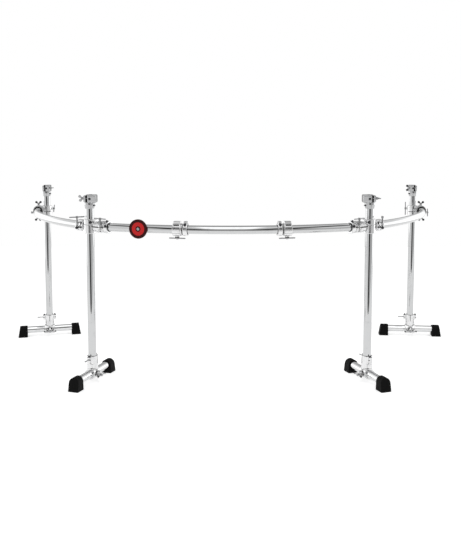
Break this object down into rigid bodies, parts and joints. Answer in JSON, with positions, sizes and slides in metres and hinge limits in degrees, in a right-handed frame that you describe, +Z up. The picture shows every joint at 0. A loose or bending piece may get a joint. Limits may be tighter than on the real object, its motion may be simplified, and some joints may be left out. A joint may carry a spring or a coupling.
{
  "type": "drum rack frame",
  "caption": "Curved tubular drum rack: a bowed front rail and swept-back wing rails on upright legs with T feet, joined by cast clamps with cross-bar bolts, and a tube clamp on each leg.",
  "frame": {"origin": "on the floor, below the middle of the whole rack's bounding box", "axes": "+Z up; +X to the right as seen from the audience side, along the rack's width; +Y from the front rail back towards the drummer"},
  "size_m": [2.4662, 1.0836, 0.884],
  "materials": {
    "chrome_tube": "bright chrome plate on steel tube",
    "cast_clamp": "chrome plate on castings",
    "bolt_steel": "plated steel",
    "black_rubber": "matt black",
    "red_enamel": "satin dark red"
  },
  "bodies": {
    "front_frame": {"front_rail": "chrome_tube", "front_clamp_left": "cast_clamp", "front_clamp_right": "cast_clamp", "badge": "red_enamel"},
    "left_wing": {"wing_rail_left": "chrome_tube", "wing_clamp_left": "cast_clamp", "outer_clamp_left": "cast_clamp"},
    "right_wing": {"wing_rail_right": "chrome_tube", "wing_clamp_right": "cast_clamp", "outer_clamp_right": "cast_clamp"},
    "left_inner_post": {"inner_leg_left": "chrome_tube", "inner_head_left": "cast_clamp"},
    "right_inner_post": {"inner_leg_right": "chrome_tube", "inner_head_right": "cast_clamp"},
    "left_outer_post": {"outer_leg_left": "chrome_tube", "outer_head_left": "cast_clamp"},
    "right_outer_post": {"outer_leg_right": "chrome_tube", "outer_head_right": "cast_clamp"},
    "left_inner_swivel": {"inner_tee_left": "cast_clamp"},
    "right_inner_swivel": {"inner_tee_right": "cast_clamp"},
    "left_outer_swivel": {"outer_tee_left": "cast_clamp"},
    "right_outer_swivel": {"outer_tee_right": "cast_clamp"},
    "left_inner_foot": {"inner_foot_tube_left": "chrome_tube", "inner_boot_a_left": "black_rubber", "inner_boot_b_left": "black_rubber"},
    "right_inner_foot": {"inner_foot_tube_right": "chrome_tube", "inner_boot_a_right": "black_rubber", "inner_boot_b_right": "black_rubber"},
    "left_outer_foot": {"outer_foot_tube_left": "chrome_tube", "outer_boot_a_left": "black_rubber", "outer_boot_b_left": "black_rubber"},
    "right_outer_foot": {"outer_foot_tube_right": "chrome_tube", "outer_boot_a_right": "black_rubber", "outer_boot_b_right": "black_rubber"},
    "left_inner_jaw": {"inner_head_jaw_left": "cast_clamp"},
    "right_inner_jaw": {"inner_head_jaw_right": "cast_clamp"},
    "left_outer_jaw": {"outer_head_jaw_left": "cast_clamp"},
    "right_outer_jaw": {"outer_head_jaw_right": "cast_clamp"},
    "left_lock": {"memory_lock_left": "cast_clamp"},
    "right_lock": {"memory_lock_right": "cast_clamp"},
    "left_multi": {"multi_clamp_left": "cast_clamp"},
    "right_multi": {"multi_clamp_right": "cast_clamp"},
    "left_front_screw": {"front_bolt_left": "bolt_steel"},
    "right_front_screw": {"front_bolt_right": "bolt_steel"},
    "left_wing_screw": {"wing_bolt_left": "bolt_steel"},
    "right_wing_screw": {"wing_bolt_right": "bolt_steel"},
    "left_outer_leg_screw": {"outer_leg_bolt_left": "bolt_steel"},
    "right_outer_leg_screw": {"outer_leg_bolt_right": "bolt_steel"},
    "left_outer_rail_screw": {"outer_rail_bolt_left": "bolt_steel"},
    "right_outer_rail_screw": {"outer_rail_bolt_right": "bolt_steel"},
    "left_multi_screw": {"multi_clamp_bolt_left": "bolt_steel"},
    "right_multi_screw": {"multi_clamp_bolt_right": "bolt_steel"},
    "left_inner_head_screw": {"inner_head_bolt_left": "bolt_steel"},
    "right_inner_head_screw": {"inner_head_bolt_right": "bolt_steel"},
    "left_outer_head_screw": {"outer_head_bolt_left": "bolt_steel"},
    "right_outer_head_screw": {"outer_head_bolt_right": "bolt_steel"},
    "left_inner_tee_screw": {"inner_tee_bolt_left": "bolt_steel"},
    "right_inner_tee_screw": {"inner_tee_bolt_right": "bolt_steel"},
    "left_outer_tee_screw": {"outer_tee_bolt_left": "bolt_steel"},
    "right_outer_tee_screw": {"outer_tee_bolt_right": "bolt_steel"}
  },
  "joints": [
    {"name": "left_wing_swing", "type": "hinge", "parent": "front_frame", "child": "left_wing", "pos_m": [-0.6475, -0.36577, 0.735], "axis": [0, 0, 1], "range_deg": [-60, 60]},
    {"name": "right_wing_swing", "type": "hinge", "parent": "front_frame", "child": "right_wing", "pos_m": [0.6465, -0.36577, 0.735], "axis": [0, 0, 1], "range_deg": [-60, 60]},
    {"name": "left_inner_leg_height", "type": "slide", "parent": "front_frame", "child": "left_inner_post", "axis": [0, 0, 1], "range_m": [-0.045, 0.45]},
    {"name": "right_inner_leg_height", "type": "slide", "parent": "front_frame", "child": "right_inner_post", "axis": [0, 0, 1], "range_m": [-0.045, 0.45]},
    {"name": "left_outer_leg_height", "type": "slide", "parent": "left_wing", "child": "left_outer_post", "axis": [0, 0, 1], "range_m": [-0.045, 0.45]},
    {"name": "right_outer_leg_height", "type": "slide", "parent": "right_wing", "child": "right_outer_post", "axis": [0, 0, 1], "range_m": [-0.045, 0.45]},
    {"name": "left_inner_foot_swivel", "type": "hinge", "parent": "left_inner_post", "child": "left_inner_swivel", "pos_m": [-0.6475, -0.36577, 0.1], "axis": [0, 0, 1], "range_deg": [-90, 90]},
    {"name": "right_inner_foot_swivel", "type": "hinge", "parent": "right_inner_post", "child": "right_inner_swivel", "pos_m": [0.6465, -0.36577, 0.1], "axis": [0, 0, 1], "range_deg": [-90, 90]},
    {"name": "left_outer_foot_swivel", "type": "hinge", "parent": "left_outer_post", "child": "left_outer_swivel", "pos_m": [-1.05494, 0.4707, 0.1], "axis": [0, 0, 1], "range_deg": [-90, 90]},
    {"name": "right_outer_foot_swivel", "type": "hinge", "parent": "right_outer_post", "child": "right_outer_swivel", "pos_m": [1.05394, 0.4707, 0.1], "axis": [0, 0, 1], "range_deg": [-90, 90]},
    {"name": "left_inner_foot_slide", "type": "slide", "parent": "left_inner_swivel", "child": "left_inner_foot", "axis": [-0.3339, -0.9426, 0], "range_m": [-0.09, 0.09]},
    {"name": "right_inner_foot_slide", "type": "slide", "parent": "right_inner_swivel", "child": "right_inner_foot", "axis": [0.3339, -0.9426, 0], "range_m": [-0.09, 0.09]},
    {"name": "left_outer_foot_slide", "type": "slide", "parent": "left_outer_swivel", "child": "left_outer_foot", "axis": [-0.9659, -0.2589, 0], "range_m": [-0.09, 0.09]},
    {"name": "right_outer_foot_slide", "type": "slide", "parent": "right_outer_swivel", "child": "right_outer_foot", "axis": [0.9954, -0.0958, 0], "range_m": [-0.09, 0.09]},
    {"name": "left_inner_jaw_open", "type": "hinge", "parent": "left_inner_post", "child": "left_inner_jaw", "pos_m": [-0.661, -0.34576, 0.8615], "axis": [0, 0, -1], "range_deg": [0, 60]},
    {"name": "right_inner_jaw_open", "type": "hinge", "parent": "right_inner_post", "child": "right_inner_jaw", "pos_m": [0.66, -0.34576, 0.8615], "axis": [0, 0, 1], "range_deg": [0, 60]},
    {"name": "left_outer_jaw_open", "type": "hinge", "parent": "left_outer_post", "child": "left_outer_jaw", "pos_m": [-1.06244, 0.4907, 0.8615], "axis": [0, 0, -1], "range_deg": [0, 60]},
    {"name": "right_outer_jaw_open", "type": "hinge", "parent": "right_outer_post", "child": "right_outer_jaw", "pos_m": [1.06144, 0.4907, 0.8615], "axis": [0, 0, 1], "range_deg": [0, 60]},
    {"name": "left_lock_travel", "type": "hinge", "parent": "front_frame", "child": "left_lock", "pos_m": [-0.0005, 0.89827, 0.735], "axis": [0, 0, 1], "range_deg": [-3.5, 7]},
    {"name": "right_lock_travel", "type": "hinge", "parent": "front_frame", "child": "right_lock", "pos_m": [-0.0005, 0.89827, 0.735], "axis": [0, 0, 1], "range_deg": [-8, 11]},
    {"name": "left_multi_tilt", "type": "hinge", "parent": "left_lock", "child": "left_multi", "pos_m": [-0.2335, -0.50248, 0.735], "axis": [-0.9864, 0.1641, 0], "range_deg": [-45, 45]},
    {"name": "right_multi_tilt", "type": "hinge", "parent": "right_lock", "child": "right_multi", "pos_m": [0.2555, -0.49846, 0.735], "axis": [0.9836, 0.1803, 0], "range_deg": [-45, 45]},
    {"name": "left_front_screw_turn", "type": "hinge", "parent": "front_frame", "child": "left_front_screw", "pos_m": [-0.59092, -0.42192, 0.747], "axis": [0, 0, 1], "continuous": true},
    {"name": "right_front_screw_turn", "type": "hinge", "parent": "front_frame", "child": "right_front_screw", "pos_m": [0.58993, -0.42192, 0.747], "axis": [0, 0, 1], "continuous": true},
    {"name": "left_wing_screw_turn", "type": "hinge", "parent": "left_wing", "child": "left_wing_screw", "pos_m": [-0.71252, -0.34132, 0.747], "axis": [0, 0, 1], "continuous": true},
    {"name": "right_wing_screw_turn", "type": "hinge", "parent": "right_wing", "child": "right_wing_screw", "pos_m": [0.71152, -0.34132, 0.747], "axis": [0, 0, 1], "continuous": true},
    {"name": "left_outer_leg_screw_turn", "type": "hinge", "parent": "left_wing", "child": "left_outer_leg_screw", "pos_m": [-1.02138, 0.47617, 0.745], "axis": [0.987, 0.161, 0], "continuous": true},
    {"name": "right_outer_leg_screw_turn", "type": "hinge", "parent": "right_wing", "child": "right_outer_leg_screw", "pos_m": [1.02039, 0.47617, 0.745], "axis": [-0.987, 0.161, 0], "continuous": true},
    {"name": "left_outer_rail_screw_turn", "type": "hinge", "parent": "left_wing", "child": "left_outer_rail_screw", "pos_m": [-1.10132, 0.46313, 0.769], "axis": [0, 0, 1], "continuous": true},
    {"name": "right_outer_rail_screw_turn", "type": "hinge", "parent": "right_wing", "child": "right_outer_rail_screw", "pos_m": [1.10033, 0.46313, 0.769], "axis": [0, 0, 1], "continuous": true},
    {"name": "left_multi_screw_turn", "type": "hinge", "parent": "left_multi", "child": "left_multi_screw", "pos_m": [-0.2335, -0.50248, 0.701], "axis": [0, 0, -1], "continuous": true},
    {"name": "right_multi_screw_turn", "type": "hinge", "parent": "right_multi", "child": "right_multi_screw", "pos_m": [0.2555, -0.49846, 0.701], "axis": [0, 0, -1], "continuous": true},
    {"name": "left_inner_head_screw_turn", "type": "hinge", "parent": "left_inner_jaw", "child": "left_inner_head_screw", "pos_m": [-0.6735, -0.38527, 0.865], "axis": [-1, 0, 0], "continuous": true},
    {"name": "right_inner_head_screw_turn", "type": "hinge", "parent": "right_inner_jaw", "child": "right_inner_head_screw", "pos_m": [0.6725, -0.38527, 0.865], "axis": [1, 0, 0], "continuous": true},
    {"name": "left_outer_head_screw_turn", "type": "hinge", "parent": "left_outer_post", "child": "left_outer_head_screw", "pos_m": [-1.03094, 0.4512, 0.865], "axis": [1, 0, 0], "continuous": true},
    {"name": "right_outer_head_screw_turn", "type": "hinge", "parent": "right_outer_post", "child": "right_outer_head_screw", "pos_m": [1.02994, 0.4512, 0.865], "axis": [-1, 0, 0], "continuous": true},
    {"name": "left_inner_tee_screw_turn", "type": "hinge", "parent": "left_inner_swivel", "child": "left_inner_tee_screw", "pos_m": [-0.60791, -0.37979, 0.033], "axis": [0.9426, -0.3339, 0], "continuous": true},
    {"name": "right_inner_tee_screw_turn", "type": "hinge", "parent": "right_inner_swivel", "child": "right_inner_tee_screw", "pos_m": [0.60691, -0.37979, 0.033], "axis": [-0.9426, -0.3339, 0], "continuous": true},
    {"name": "left_outer_tee_screw_turn", "type": "hinge", "parent": "left_outer_swivel", "child": "left_outer_tee_screw", "pos_m": [-1.04406, 0.43013, 0.033], "axis": [0.2589, -0.9659, 0], "continuous": true},
    {"name": "right_outer_tee_screw_turn", "type": "hinge", "parent": "right_outer_swivel", "child": "right_outer_tee_screw", "pos_m": [1.04992, 0.42889, 0.033], "axis": [-0.0958, -0.9954, 0], "continuous": true}
  ]
}
